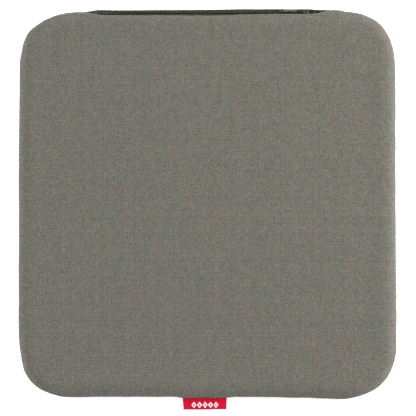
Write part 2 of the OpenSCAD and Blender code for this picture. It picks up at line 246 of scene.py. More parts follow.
class Graph:
    """A material's node tree, with short calls for the nodes used here."""

    def __init__(self, name, roughness=0.9, metallic=0.0, sheen=0.0, sheen_roughness=0.5, specular=0.3):
        self.material = bpy.data.materials.new(name)
        self.material.use_nodes = True
        self.tree = self.material.node_tree
        self.tree.nodes.clear()
        self.shader = self.tree.nodes.new("ShaderNodeBsdfPrincipled")
        output = self.tree.nodes.new("ShaderNodeOutputMaterial")
        self.tree.links.new(self.shader.outputs[0], output.inputs[0])
        for socket, value in (
            ("Roughness", roughness), ("Metallic", metallic), ("Sheen Weight", sheen),
            ("Sheen Roughness", sheen_roughness), ("Specular IOR Level", specular),
        ):
            self.shader.inputs[socket].default_value = value

    def put(self, socket, value):
        """Links a Value to a socket, or sets a constant on it. A colour needs no alpha."""
        if isinstance(value, Value):
            self.tree.links.new(value.socket, socket)
        elif value is not None:
            socket.default_value = (*value, 1) if isinstance(value, tuple) else value

    def node(self, kind, *values, output=0, **settings):
        """Adds a node with its first inputs filled: one of its outputs, as a Value."""
        node = self.tree.nodes.new("ShaderNode" + kind)
        for name, setting in settings.items():
            setattr(node, name, setting)
        for socket, value in zip(node.inputs, values):
            self.put(socket, value)
        return Value(self, node.outputs[output])

    def math(self, operation, *values):
        return self.node("Math", *values, operation=operation)

    def sine(self, value):
        return self.math("SINE", value)

    def spread(self, value, low, high, to_low=0.0, to_high=1.0):
        return self.node("MapRange", value, low, high, to_low, to_high)

    def vector(self, x, y, z=0.0):
        return self.node("CombineXYZ", x, y, z)

    def split(self, vector):
        """A vector's three parts."""
        node = self.tree.nodes.new("ShaderNodeSeparateXYZ")
        self.put(node.inputs[0], vector)
        return [Value(self, socket) for socket in node.outputs]

    def cloth_place(self):
        """The point's place on the flat cloth, in millimetres: x and y."""
        return self.split(self.node("Attribute", attribute_name="cut", output="Vector"))[:2]

    def object_place(self):
        """The point's place on the object, as a vector in millimetres."""
        place = self.node("TexCoord", output="Object")
        scaled = self.node("VectorMath", place, operation="SCALE")
        scaled.socket.node.inputs["Scale"].default_value = 1 / MM
        return scaled

    def noise(self, place, scale, detail=2.0, roughness=0.5):
        noise = self.node("TexNoise", place)
        inputs = noise.socket.node.inputs
        for name, value in (("Scale", scale), ("Detail", detail), ("Roughness", roughness)):
            inputs[name].default_value = value
        return noise

    def cells(self, place, scale, feature="F1"):
        """Distances in a pattern of random cells."""
        cells = self.node("TexVoronoi", place, feature=feature, output="Distance")
        cells.socket.node.inputs["Scale"].default_value = scale
        return cells

    def random(self, value):
        noise = self.node("TexWhiteNoise", noise_dimensions="1D")
        self.put(noise.socket.node.inputs["W"], value)
        return noise

    def random_pair(self, a, b):
        return self.node("TexWhiteNoise", self.vector(a, b), noise_dimensions="2D")

    def blend(self, share, a, b, blend_type="MIX"):
        node = self.tree.nodes.new("ShaderNodeMix")
        node.data_type = "RGBA"
        node.blend_type = blend_type
        for number, value in ((0, share), (6, a), (7, b)):
            self.put(node.inputs[number], value)
        return Value(self, node.outputs[2])

    def bump(self, height, distance, strength=1.0, under=None):
        bump = self.node("Bump")
        inputs = bump.socket.node.inputs
        self.put(inputs["Height"], height)
        self.put(inputs["Normal"], under)
        inputs["Distance"].default_value = distance * MM
        inputs["Strength"].default_value = strength
        return bump

    def finish(self, colour, normal=None, roughness=None):
        for name, value in (("Base Color", colour), ("Normal", normal), ("Roughness", roughness)):
            self.put(self.shader.inputs[name], value)
        return self.material


def plain_weave(g, pitch):
    """A plain weave on the flat cloth: (height of the surface, 1 where the warp is on top,
    warp yarn number, weft yarn number, place along the warp, place along the weft).
    """
    x, y = g.cloth_place()
    u, v = x / pitch[0], y / pitch[1]
    column, row = g.math("FLOOR", u), g.math("FLOOR", v)
    across_warp = g.sine(g.math("FRACT", u) * math.pi)
    across_weft = g.sine(g.math("FRACT", v) * math.pi)
    along_warp = g.math("COSINE", (v - 0.5 + column) * math.pi)
    along_weft = g.math("COSINE", (u - 0.5 + row) * math.pi)
    warp = along_warp * 0.5 + across_warp
    weft = along_weft * -0.5 + across_weft
    on_top = g.math("GREATER_THAN", warp, weft)
    return g.math("MAXIMUM", warp, weft), on_top, column, row, y, x


def yarn_tone(g, number, along, slub, seed):
    """A yarn's own tone, and a tone that changes along it, each about 0 to 1."""
    place = g.vector(number * 3.71, along / slub, seed)
    return g.random(number + seed), g.noise(place, 1.0, 3.0, 0.6)


def heather_fabric():
    """The cover's cloth: plain weave in mixed greys, with slubs along its yarns."""
    g = Graph("heather_fabric", roughness=0.92, sheen=0.2, sheen_roughness=0.4, specular=0.2)
    g.shader.inputs["Sheen Tint"].default_value = (0.95, 0.94, 0.9, 1)
    surface, on_top, column, row, y, x = plain_weave(g, (0.48, 0.52))

    def tone(number, along, seed, fibres):
        own, slub = yarn_tone(g, number, along, 5.0, seed)
        return fibres * 0.8 + (slub * 1.25 + own * 0.14)

    warp = tone(column, y, 11.5, g.noise(g.vector(x * 4.0, y * 1.3), 1.0))
    weft = tone(row, x, 47.5, g.noise(g.vector(x * 1.3, y * 4.0, 9.0), 1.0))
    both = g.random_pair(column, row) * 0.5 + ((warp - weft) * on_top + weft)
    colour = g.blend(g.spread(both, 0.81, 1.83), (0.0428, 0.0424, 0.0355), (0.1985, 0.1973, 0.1668))
    # The mixed fibres drift between a greenish and a pinkish grey over a few millimetres.
    drift = g.spread(g.noise(g.vector(x, y, 3.0), 0.17, 4.0, 0.75), 0.4, 0.64)
    colour = g.blend(1, colour, g.blend(drift, (0.935, 1.02, 0.982), (1.165, 0.972, 1.018)), "MULTIPLY")
    # Painted shade: the colour is drawn towards near-black where the weave's surface dips between the yarns.
    gap_shade = g.spread(surface, 0.35, 0.8, 0.6, 1.0)
    colour = g.blend(gap_shade, (0.03, 0.029, 0.025), colour)
    lumps = g.bump(g.noise(g.vector(x, y), 0.12, 3.0), 0.25, 0.5)
    return g.finish(colour, g.bump(surface, 0.1, 0.5, lumps))


def tape_fabric():
    """The zip's tape: a fine charcoal herringbone, with a little painted shade along its ribs."""
    g = Graph("tape_fabric", roughness=0.9, sheen=0.02, specular=0.1)
    x, y = g.cloth_place()
    rib_ridges_and_shade = g.sine((x + g.math("PINGPONG", y, 1.1)) * (2 * math.pi / 0.42))
    level = rib_ridges_and_shade * 0.15 + g.noise(g.vector(x, y), 1.3, 3.0, 0.7)
    # The colour is partly painted shade, lighter on the ribs' crests and darker between them, and partly a
    # random tone from the noise.
    colour = g.blend(g.spread(level, 0.25, 0.8), (0.014, 0.012, 0.0064), (0.058, 0.0515, 0.032))
    return g.finish(colour, g.bump(level, 0.08, 0.7))


DIAMOND_ROW = -7.2         # the motif's place on the label, outwards from the seam


def label_fabric():
    """A red damask tab with a plain woven row of five open white diamonds."""
    g = Graph("label_fabric", roughness=0.8, sheen=0.03, specular=0.08)
    surface, _, _, _, y, x = plain_weave(g, (0.16, 0.2))
    shade = g.noise(g.vector(x * 0.4, y * 3.0), 1.0)
    red = g.blend(g.spread(shade, 0.3, 0.7), (0.5, 0.0022, 0.0205), (0.622, 0.0032, 0.0295))
    step, half, slope, opening = 5.2, 2.35, 0.8, 0.45
    cell = g.math("ABSOLUTE", g.math("FLOORED_MODULO", x + step / 2, step) - step / 2)
    reach = cell + g.math("ABSOLUTE", y - DIAMOND_ROW) * slope
    inside = g.math("LESS_THAN", reach, half)
    hole = g.math("GREATER_THAN", reach, half * opening)
    span = g.math("LESS_THAN", g.math("ABSOLUTE", x), step * 2.5)
    motif = inside * hole * span
    return g.finish(g.blend(motif, red, (0.86, 0.84, 0.84)), g.bump(surface + motif * 1.2, 0.06, 0.6))


def satin_fabric():
    """White satin, for the care label."""
    g = Graph("satin_fabric", roughness=0.45, sheen=0.1, specular=0.5)
    surface, _, _, _, y, x = plain_weave(g, (0.12, 0.3))
    shade = g.noise(g.vector(x * 6.0, y), 0.7)
    return g.finish(g.blend(shade, (0.72, 0.72, 0.7), (0.84, 0.84, 0.82)), g.bump(surface, 0.04, 0.5))


def liner_fabric(name, pitch, dark, light):
    """Undyed plain weave, for the liner sheets and the binding."""
    g = Graph(name, roughness=0.95, sheen=0.15, specular=0.2)
    surface, on_top, column, row, y, x = plain_weave(g, pitch)
    warp_own, warp_slub = yarn_tone(g, column, y, 14.0, 3.5)
    weft_own, weft_slub = yarn_tone(g, row, x, 14.0, 71.5)
    both = (warp_own + weft_own) * 0.1 + ((warp_slub - weft_slub) * on_top + weft_slub)
    return g.finish(g.blend(g.spread(both, 0.35, 0.85), dark, light), g.bump(surface, 0.12, 0.6))


def felt_fabric():
    """Needled felt: tangled fibres in loose clumps."""
    g = Graph("felt_fabric", roughness=0.97, sheen=0.35, specular=0.15)
    place = g.object_place()
    tangle = g.noise(place, 0.9, 5.0, 0.7)
    level = tangle * 0.7 + g.noise(place, 0.12) * 0.3
    colour = g.blend(g.spread(level, 0.3, 0.7), (0.5, 0.465, 0.39), (0.72, 0.68, 0.59))
    return g.finish(colour, g.bump(tangle, 0.4, 0.8))


def sponge_foam():
    """Open-cell silicone sponge: pores with painted shade in them, in a brick-red body."""
    g = Graph("sponge_foam", roughness=0.8, specular=0.3)
    place = g.object_place()
    pore_depth_and_shade = g.spread(g.cells(place, 0.9), 0.15, 0.5)
    body = g.blend(g.noise(place, 0.05, 3.0), (0.33, 0.065, 0.038), (0.46, 0.1, 0.06))
    # The pores are dented in by the bump and darkened with painted shade.
    return g.finish(g.blend(pore_depth_and_shade, (0.13, 0.025, 0.015), body), g.bump(pore_depth_and_shade, 0.5, 0.9))


def crinkled_foil():
    """Bright metal foil with a net of creases."""
    g = Graph("crinkled_foil", roughness=0.28, metallic=1.0, specular=0.5)
    place = g.object_place()
    ridge = g.spread(g.cells(place, 0.06, "DISTANCE_TO_EDGE"), 0.0, 0.2)
    grain = g.noise(place, 0.8, 3.0)
    colour = g.blend(grain, (0.74, 0.75, 0.76), (0.84, 0.85, 0.86))
    return g.finish(colour, g.bump(grain * 0.3 + ridge, 0.3, 0.6), g.spread(grain, 0.2, 0.8, 0.2, 0.4))


def spun_thread(name, dark, light):
    """Twisted thread: fine diagonal plies, with painted shade in the grooves between them."""
    g = Graph(name, roughness=0.55, sheen=0.2, specular=0.4)
    place = g.object_place()
    x, y, z = g.split(place)
    ply_ridges_and_shade = g.sine((x + y + z) * (2 * math.pi / 0.33))
    level = ply_ridges_and_shade * 0.25 + g.noise(place, 2.5)
    # The colour is lighter on the plies' crests and darker in their grooves, painted shade, over a random
    # tone from the noise.
    return g.finish(g.blend(g.spread(level, 0.2, 0.8), dark, light), g.bump(level, 0.05, 0.7))


def nylon_coil():
    """Satin black monofilament with faint draw marks."""
    g = Graph("nylon_coil", roughness=0.55, specular=0.2)
    scuffs = g.noise(g.object_place(), 1.6, 3.0)
    colour = g.blend(scuffs, (0.018, 0.0155, 0.008), (0.046, 0.0405, 0.025))
    return g.finish(colour, g.bump(scuffs, 0.03, 0.4), g.spread(scuffs, 0.2, 0.8, 0.45, 0.65))


def gunmetal():
    """Black enamelled metal, slightly worn."""
    g = Graph("gunmetal", roughness=0.5, metallic=0.2, specular=0.25)
    place = g.object_place()
    grain = g.noise(place, 2.2, 4.0, 0.6)
    wear = g.spread(g.noise(place, 0.5, 3.0, 0.7), 0.55, 0.75)
    colour = g.blend(wear, (0.022, 0.02, 0.015), (0.055, 0.05, 0.038))
    return g.finish(colour, g.bump(grain, 0.02, 0.4), g.spread(grain, 0.2, 0.8, 0.45, 0.65))


FABRIC = heather_fabric()
TAPE = tape_fabric()
LABEL = label_fabric()
SATIN = satin_fabric()
LINER = liner_fabric("liner_fabric", (0.7, 0.75), (0.52, 0.5, 0.43), (0.78, 0.76, 0.68))
BINDING = liner_fabric("binding_fabric", (0.45, 0.5), (0.5, 0.48, 0.42), (0.74, 0.72, 0.65))
FELT = felt_fabric()
SPONGE = sponge_foam()
FOIL = crinkled_foil()
GREY_THREAD = spun_thread("grey_thread", (0.11, 0.107, 0.092), (0.25, 0.243, 0.21))
WHITE_THREAD = spun_thread("white_thread", (0.6, 0.6, 0.57), (0.85, 0.85, 0.82))
DARK_THREAD = spun_thread("dark_thread", (0.012, 0.012, 0.012), (0.04, 0.04, 0.038))
NYLON = nylon_coil()
METAL = gunmetal()


# ---------------------------------------------------------------- the pad's outline

def side_points(count, edge, half_straight):
    """One side's points, from one corner's middle to the next: (places, outward normals).
    The side faces +X.
    """
    along = np.arange(-count, count) / count * (half_straight + CORNER_R * math.pi / 4)
    angle = np.maximum(np.abs(along) - half_straight, 0) / CORNER_R
    normals = np.stack([np.cos(angle), np.sign(along) * np.sin(angle)], 1)
    straight = np.clip(along, -half_straight, half_straight)
    centres = np.stack([np.full(2 * count, edge - CORNER_R), straight], 1)
    return centres + CORNER_R * normals, normals


def outline(count):
    """The pad's edge as 8 times count points: (places, outward normals)."""
    places, normals = [], []
    for turn in range(4):
        edge, other = (HALF_W, HALF_L) if turn % 2 == 0 else (HALF_L, HALF_W)
        p, n = side_points(count, edge, other - CORNER_R)
        c, s = round(math.cos(turn * math.pi / 2)), round(math.sin(turn * math.pi / 2))
        back = np.array([[c, s], [-s, c]])
        places.append(p @ back)
        normals.append(n @ back)
    return np.concatenate(places), np.concatenate(normals)


def ring_numbers(k, n):
    """The numbers of the points of ring k in a square grid of 2n + 1 points a side, in outline order."""
    i = np.concatenate([np.full(2 * k, k), np.arange(k, -k, -1), np.full(2 * k, -k), np.arange(-k, k)])
    j = np.concatenate([np.arange(-k, k), np.full(2 * k, k), np.arange(k, -k, -1), np.full(2 * k, -k)])
    return (i + n) * (2 * n + 1) + (j + n)


def grid_faces(n):
    side = 2 * n + 1
    corner = (np.arange(side - 1)[:, None] * side + np.arange(side - 1)).ravel()
    return np.stack([corner, corner + side, corner + side + 1, corner + 1], 1).tolist()


def disc_points(n, inset):
    """The flat middle: a square grid of points that fills the outline drawn at an inset."""
    flat = np.zeros(((2 * n + 1) ** 2, 2))
    for k in range(1, n + 1):
        places, normals = outline(k)
        flat[ring_numbers(k, n)] = (places - inset * normals) * k / n
    return flat


# ---------------------------------------------------------------- the cover

RIM_REACH = 10             # how far the rim comes in before the panel is flat
RIM_POWER = 2 / 2.4        # 1 would make the rim's section an ellipse
RIM_BELLY = 0.5
SEAM_PINCH = 0.8           # how far the seam is drawn in
PINCH_ANGLE = 30
LOWER_LIP_Z = 4.6          # how far the lower lip's edge lies over the underside
GRID = 56                  # grid cells from the pad's middle to its rim
HIDDEN = 6                 # rings of each panel that are turned in, before its visible rim
VISIBLE = 12


def rim_curve(angle):
    """The rim's section over the seam: [inset, height]."""
    a = np.radians(angle)
    pinch = SEAM_PINCH * np.maximum(0, 1 - angle / PINCH_ANGLE) ** 2
    inset = -RIM_BELLY + (RIM_REACH + RIM_BELLY) * (1 - np.maximum(np.cos(a), 0) ** RIM_POWER) + pinch
    height = SEAM_Z * np.sin(a) ** RIM_POWER
    # The cloth lies flatter between the seam and the core's edge than a round rim would.
    marks = (0, 8, 72, 90)
    flat_inset = np.interp(angle, marks, (0.3, -0.4, 7.2, RIM_REACH))
    flat_height = np.interp(angle, marks, (0, 1.7, 0.985 * SEAM_Z, SEAM_Z))
    return np.stack([0.4 * inset + 0.6 * flat_inset, 0.4 * height + 0.6 * flat_height], -1)


def lower_lip_curve(angle, out):
    """The lower lip's section, which stands out past the rim: [inset, drop below the seam]."""
    a = np.radians(angle)
    inset = RIM_REACH - (RIM_REACH + out) * np.maximum(np.cos(a), 0) ** RIM_POWER
    drop = LOWER_LIP_Z * np.sign(a) * np.abs(np.sin(a)) ** RIM_POWER
    return np.stack([inset, SEAM_Z - LOWER_LIP_Z + drop], -1)


def inward(curve, angle):
    """Two unit vectors at an angle on the curve: square to it, into the pad, and along it."""
    step = curve(angle + 0.5) - curve(angle - 0.5)
    step /= np.linalg.norm(step, axis=-1, keepdims=True)
    return np.stack([step[..., 1], -step[..., 0]], -1), step


def seam_section(count):
    """A panel's section at the plain seam: its allowance turned in, then the rim."""
    hidden = np.array([[5.3, 0.5], [4.0, 0.46], [2.6, 0.44], [1.5, 0.4], [0.8, 0.3], [0.42, 0.12]])
    angles = np.array([1.5, 4, 8, 13, 19, 26, 34, 43, 53, 64, 77, 90])
    section = np.concatenate([hidden, rim_curve(angles)])
    return np.broadcast_to(section, (count, *section.shape)).copy()


def lip_section(curve, lip, depth):
    """A panel's section at the zip: the hem folded under the lip, then the rim. lip is each place's angle."""
    parts = []
    for more in (26, 18, 9, 3):
        into, _ = inward(curve, lip + more)
        parts.append(curve(lip + more) + depth * into)
    into, ahead = inward(curve, lip)
    parts.append(curve(lip) + depth * (0.74 * into - 0.26 * ahead))
    parts.append(curve(lip) + depth * (0.3 * into - 0.27 * ahead))
    for share in np.linspace(0, 1, VISIBLE) ** 1.15:
        parts.append(curve(lip + (90 - lip) * share))
    return np.stack(parts, 1)


LIP_WOBBLE = Wobble(1, 16)
LIP_FINE = Wobble(2, 6)


def mouth_weight(x):
    """1 along the zip's mouth, tapering to 0 past its ends, where the lips close."""
    return smooth(x, MOUTH_X0 - 16, MOUTH_X0 + 1) * smooth(x, MOUTH_X1 + 21, MOUTH_X1 - 1)


def upper_lip_angle(x):
    """How far round the rim the upper lip's fold lies: lower to the right, and at the left end."""
    drift = smooth(x, 0, 70)
    uneven = 1 + 1.2 * plateau(x, -25, 30, 20)
    return 44.8 - 13 * drift - 15 * smooth(x, -94, -112) + (1.3 * LIP_WOBBLE(x) + 0.9 * LIP_FINE(x)) * uneven


def lower_lip_out(x):
    """How far the lower lip stands out past the rim."""
    grown = 2.5 + 0.95 * smooth(x, -60, 60) - 0.6 * smooth(x, 95, 104) + 0.3 * smooth(x, -84, -98)
    return grown + 0.12 * LIP_WOBBLE(x + 400)


def panel_sections(x, rear, upper):
    """Each outline point's section: [inset, height over the seam] from the turned-in edge to the flat."""
    plain = seam_section(len(x))
    if upper:
        lip = lip_section(rim_curve, upper_lip_angle(x), 0.9)
        from_fold = np.maximum(lip[:, :, 0] - lip[:, HIDDEN:HIDDEN + 1, 0], 0)
        lip[:, :, 1] += 1.4 * np.exp(-from_fold / 4)
    else:
        lip = lip_section(lambda a: lower_lip_curve(a, lower_lip_out(x)), np.full(len(x), 1.0), 0.65)
    weight = (mouth_weight(x) * rear)[:, None, None]
    return plain * (1 - weight) + lip * weight


EDGE_WAVES = [Wobble(seed, step) for seed, step in ((3, 70), (4, 31), (5, 13))]


def edge_wave(along):
    """The edge's slight unevenness, in millimetres."""
    return sum(size * wave(along) for size, wave in zip((0.12, 0.1, 0.06), EDGE_WAVES))


# Where the seam lets the edge out, or pulls it in: [x, y, reach, how far out].
PULLS = (
    (160, 171, 20, 1.5), (177, 140, 9, -0.4), (-147, 179, 16, -1.2), (-177, 144, 6, -0.8),
    (-177, -141, 12, -1.3), (-164, -168, 14, 1.3), (162, -169, 22, 1.1), (119, -182, 18, 1.7),
    (114, -185, 7, -0.7), (-168, 163, 9, 1.1), (-122, 185, 7, 0.5), (84, -186, 9, 0.5),
)


def outwards(x, y):
    """Each point's direction out of the pad, and its depth inside the outline."""
    beyond = np.stack([np.abs(x) - (HALF_W - CORNER_R), np.abs(y) - (HALF_L - CORNER_R)], -1)
    inside = beyond.max(-1, keepdims=True) <= 0
    way = np.where(inside, beyond == beyond.max(-1, keepdims=True), np.maximum(beyond, 0)).astype(float)
    size = np.linalg.norm(way, axis=-1)
    depth = CORNER_R - np.where(inside[..., 0], beyond.max(-1), size)
    return way / size[..., None] * np.sign(np.stack([x, y], -1)), depth


def settle(points):
    """Moves points near the edge so that the pad has the slight unevenness of a sewn cover: each side's
    own drift, the fullness past the zip's mouth and behind the label, small waves and the pulls.
    """
    x, y = points[..., 0], points[..., 1]
    way, depth = outwards(x, y)
    right = 0.25 - 0.0035 * y + 0.3 * plateau(y, -108, -78, 14)
    left = 0.1 - 1.2 * smooth(y, 50, 130) + 0.25 * plateau(y, -115, -98, 10)
    front = -0.45 + 0.5 * smooth(x, 0, 95)
    past_mouth = 2.0 * smooth(x, MOUTH_X1, MOUTH_X1 + 18) * smooth(x, 133, 124)
    tab = 1.25 * plateau(x, label_low[0] + 1, label_high[0] - 1, 9)
    side, end = way[..., 0] ** 2, way[..., 1] ** 2
    out = side * np.where(x > 0, right, left) + end * np.where(y > 0, past_mouth, front + tab)
    along = np.where(side > end, y + 500 * np.sign(x), x + 1500 * np.sign(y))
    out += edge_wave(along) * (1 - end * (y > 0) * mouth_weight(x))
    for px, py, reach, amount in PULLS:
        out += amount * np.exp(-((x - px) ** 2 + (y - py) ** 2) / reach ** 2)
    moved = np.array(points, float)
    moved[..., :2] += (out * smooth(depth, 30, 5))[..., None] * way
    return moved


PUCKERS = [Wobble(6, 5.5), Wobble(7, 9)]
SWELLS = Wobble(8, 45)


def build_panel(upper):
    """One cover panel: (points, rings of point numbers from the turned-in edge inwards, faces,
    place on the flat cloth).
    """
    places, normals = outline(GRID)
    along = np.concatenate([[0], np.cumsum(np.linalg.norm(np.diff(places, axis=0), axis=1))])
    rear = (normals[:, 1] > 0.99).astype(float)
    sections = panel_sections(places[:, 0], rear, upper)
    sign = 1 if upper else -1

    # The sewn edge puckers a little, more so round the corners.
    corner = np.abs(normals[:, 0] * normals[:, 1]) * 2
    strength = (0.16 + 0.2 * smooth(corner, 0, 0.6)) * (1 - mouth_weight(places[:, 0]) * rear)
    shift = 3000 * (not upper)
    wave = strength * (PUCKERS[0](along - shift / 7) * 0.6 + PUCKERS[1](along + shift / 9))
    swell = 0.25 * SWELLS(along + shift / 5)

    count = HIDDEN + VISIBLE
    rim = np.empty((count, len(places), 3))
    flat_rim = np.empty((count, len(places), 2))
    arc = np.zeros(len(places))
    for j in range(count - 1, -1, -1):
        if j < count - 1:
            arc = arc + np.linalg.norm(sections[:, j + 1] - sections[:, j], axis=1)
        fade = np.exp(-np.maximum(14 - arc, 0) / 4.5) * (j >= HIDDEN)
        inset = sections[:, j, 0] - wave * fade - swell * fade * 0.5
        rim[j, :, :2] = places - inset[:, None] * normals
        rim[j, :, 2] = SEAM_Z + sign * (sections[:, j, 1] + wave * fade * 0.5)
        flat_rim[j] = places + (arc - RIM_REACH)[:, None] * normals

    n = GRID
    flat = disc_points(n, RIM_REACH)
    inner = np.column_stack([flat, np.full(len(flat), SEAM_Z + sign * SEAM_Z)])
    outer_ring = ring_numbers(n, n)
    rings = [outer_ring]
    points = [inner]
    cut = [flat]
    start = len(inner)
    for j in range(count - 2, -1, -1):
        rings.insert(0, np.arange(start, start + len(places)))
        points.append(rim[j])
        cut.append(flat_rim[j])
        start += len(places)
    faces = grid_faces(n)
    for a, b in zip(rings[:-1], rings[1:]):
        faces += band_faces(a.tolist(), b.tolist())
    if not upper:
        faces = [f[::-1] for f in faces]
    return np.concatenate(points), rings, faces, np.concatenate(cut)


SIM_FRAMES = 16
SIM_CAP = 0.9              # the most that the simulation may move the cloth


def relax(points, rings, faces, upper):
    """Runs cloth over a panel's visible part: held at the seam and over the core, free round the rim.
    Returns the points with the cloth's movement added, capped.
    """
    visible = np.unique(np.concatenate([*rings[HIDDEN:], np.arange((2 * GRID + 1) ** 2)]))
    number = np.full(len(points), -1)
    number[visible] = np.arange(len(visible))
    kept = [[number[i] for i in f] for f in faces if all(number[i] >= 0 for i in f)]
    mesh = bpy.data.meshes.new("relax")
    mesh.from_pydata((points[visible] * MM).tolist(), [], [tuple(int(i) for i in f) for f in kept])
    cloth_piece = bpy.data.objects.new("relax", mesh)
    bpy.context.scene.collection.objects.link(cloth_piece)

    flat = np.abs(points[visible, 2] - (PAD_H if upper else 0)) < 0.01
    depth = np.maximum(np.abs(points[visible, 0]) - (HALF_W - 34), np.abs(points[visible, 1]) - (HALF_L - 34))
    hold = np.where(flat, 0.6 - 0.55 * smooth(depth, -10, 22), 0.01)
    hold[number[rings[HIDDEN]]] = 1
    hold[number[rings[HIDDEN + 1]]] = 0.6
    random = np.random.default_rng(SEED + (40 if upper else 41))
    loose = random.uniform(0, 1, len(visible)) * smooth(depth, 8, 30)
    for name, weights in (("hold", hold), ("loose", loose)):
        group = cloth_piece.vertex_groups.new(name=name)
        for i, w in enumerate(weights):
            group.add([i], float(w), "REPLACE")

    cloth = cloth_piece.modifiers.new("Cloth", "CLOTH")
    settings = cloth.settings
    settings.quality = 5
    settings.mass = 0.25
    settings.tension_stiffness = settings.compression_stiffness = 18
    settings.shear_stiffness = 8
    settings.bending_stiffness = 0.4
    settings.tension_damping = settings.compression_damping = 12
    settings.vertex_group_mass = "hold"
    settings.pin_stiffness = 1
    settings.vertex_group_shrink = "loose"
    settings.shrink_min, settings.shrink_max = 0.0, -0.06
    settings.use_pressure = True
    settings.uniform_pressure_force = 6
    settings.effector_weights.gravity = 0
    cloth.point_cache.frame_start, cloth.point_cache.frame_end = 1, SIM_FRAMES
    for f in range(1, SIM_FRAMES + 1):
        bpy.context.scene.frame_set(f)
    shown = cloth_piece.evaluated_get(bpy.context.evaluated_depsgraph_get())
    moved = np.array([v.co for v in shown.to_mesh().vertices]) / MM - points[visible]
    shown.to_mesh_clear()
    bpy.context.scene.frame_set(1)
    bpy.data.objects.remove(cloth_piece)

    size = np.linalg.norm(moved, axis=1)
    moved *= (np.tanh(size / SIM_CAP) * SIM_CAP / np.maximum(size, 1e-9))[:, None]
    out = points.copy()
    out[visible] += moved
    return out


def cover_panel(upper):
    name = "cover_top_panel" if upper else "cover_bottom_panel"
    points, rings, faces, cut = build_panel(upper)
    points = relax(points, rings, faces, upper)
    crown = smooth(HALF_W - np.abs(points[:, 0]), 4, 60) * smooth(HALF_L - np.abs(points[:, 1]), 4, 60)
    if upper:
        ripple = 0.1 * EDGE_WAVES[0](points[:, 0] * 1.3 + points[:, 1]) * crown
        points[:, 2] += (0.35 * crown + ripple) * (points[:, 2] > PAD_H - 1)
    points = settle(points)
    points[:, 2] = np.maximum(points[:, 2], 0.05)
    piece = mesh_piece(name + "_cloth", points, faces, FABRIC, cut)
    piece.modifiers.new("Subdivision", "SUBSURF").levels = 1
    piece.modifiers["Subdivision"].render_levels = 1
    place_piece(piece, stands_for=[name])
    return piece


top_panel = cover_panel(True)
bottom_panel = cover_panel(False)


# ---------------------------------------------------------------- the zip

SPREAD = 1.4               # how far the slider parts each side
TAPE_GAP = 0.15            # from the zip's middle to each closed tape's edge
TAPE_T = 0.5               # thickness
PITCH = 1.5                # from one turn of the coil to the next


def parted(x):
    """How far each side of the zip is parted at x."""
    opened = smooth(x, SLIDER_X - 1.6, SLIDER_X + 0.6)
    return SPREAD * opened * (1 - smooth(x, stops_high[0] + 0.1, MOUTH_X1))


def leaning(x, v):
    """How far the closed zip leans out towards the lower lip, away from its slider and its ends."""
    along = smooth(x, SLIDER_END + 6.5, SLIDER_END + 18) * smooth(x, SLIDER_X - 7.5, SLIDER_X - 25.5)
    return 1.7 * along * np.clip((4.9 - v) / 9.2, 0, 1)


# Where each tape leaves its flat and turns in under the hem: [v, w].
UPPER_TAPE_BEND = np.array([
    (4.6, 0), (5.3, -0.2), (5.8, -0.75), (5.9, -1.5), (5.7, -2.4), (5.2, -3.2), (4.4, -3.8), (3.4, -4.2),
])
LOWER_TAPE_BEND = np.array([
    (-4.2, 0), (-4.75, -0.3), (-5.1, -0.95), (-5.2, -1.8), (-5.1, -2.7), (-4.8, -3.6), (-4.3, -4.4),
    (-3.4, -5.1),
])


def tape_piece(side):
    """One zip tape: flat beside its coil, then bent in under the hem."""
    name = "zip_tape_upper" if side > 0 else "zip_tape_lower"
    before, after = 16, 18
    x = np.concatenate([
        np.arange(MOUTH_X0 - before, SLIDER_X - 3, 3.0),
        np.arange(SLIDER_X - 3, MOUTH_X1 + 1, 0.5),
        np.arange(MOUTH_X1 + 1, MOUTH_X1 + after, 2.0),
    ])
    # The section: the flat, then the bend and the margin under the hem.
    if side > 0:
        bend = UPPER_TAPE_BEND
    else:
        bend = LOWER_TAPE_BEND
    inner = side * (TAPE_GAP + parted(x))
    flat = inner[:, None] + (bend[0, 0] - inner[:, None]) * np.array([0, 0.25, 0.5, 0.75])
    v = np.concatenate([flat, np.broadcast_to(bend[:, 0], (len(x), len(bend)))], 1)
    w = np.concatenate([np.zeros_like(flat), np.broadcast_to(bend[:, 1], (len(x), len(bend)))], 1)
    w = w + 0.06 * Wobble(9, 11)(x)[:, None] * smooth(np.arange(v.shape[1]), 2, 6)
    ends = 1 - mouth_weight(x)[:, None]
    w, v = w + leaning(x[:, None], v) - 1.6 * ends, v * (1 - 0.3 * ends)
    dv, dw = np.gradient(v, axis=1), np.gradient(w, axis=1)
    size = np.hypot(dv, dw) * side
    back = zip_place(x[:, None], v + TAPE_T * dw / size, w - TAPE_T * dv / size)
    loop = np.concatenate([zip_place(x[:, None], v, w), back[:, ::-1]], 1)
    rows, count = loop.shape[:2]
    closed = np.median(v, axis=0), np.median(w, axis=0)
    arc = np.concatenate([[0], np.cumsum(np.hypot(np.diff(closed[0]), np.diff(closed[1])))])
    cut = np.stack([np.repeat(x, count), np.tile(np.concatenate([arc, arc[::-1]]), rows)], 1)
    faces = strip_faces(rows, count, side < 0)
    piece = mesh_piece(name + "_cloth", loop.reshape(-1, 3), faces, TAPE, cut)
    place_piece(piece, stands_for=[name])
    return piece


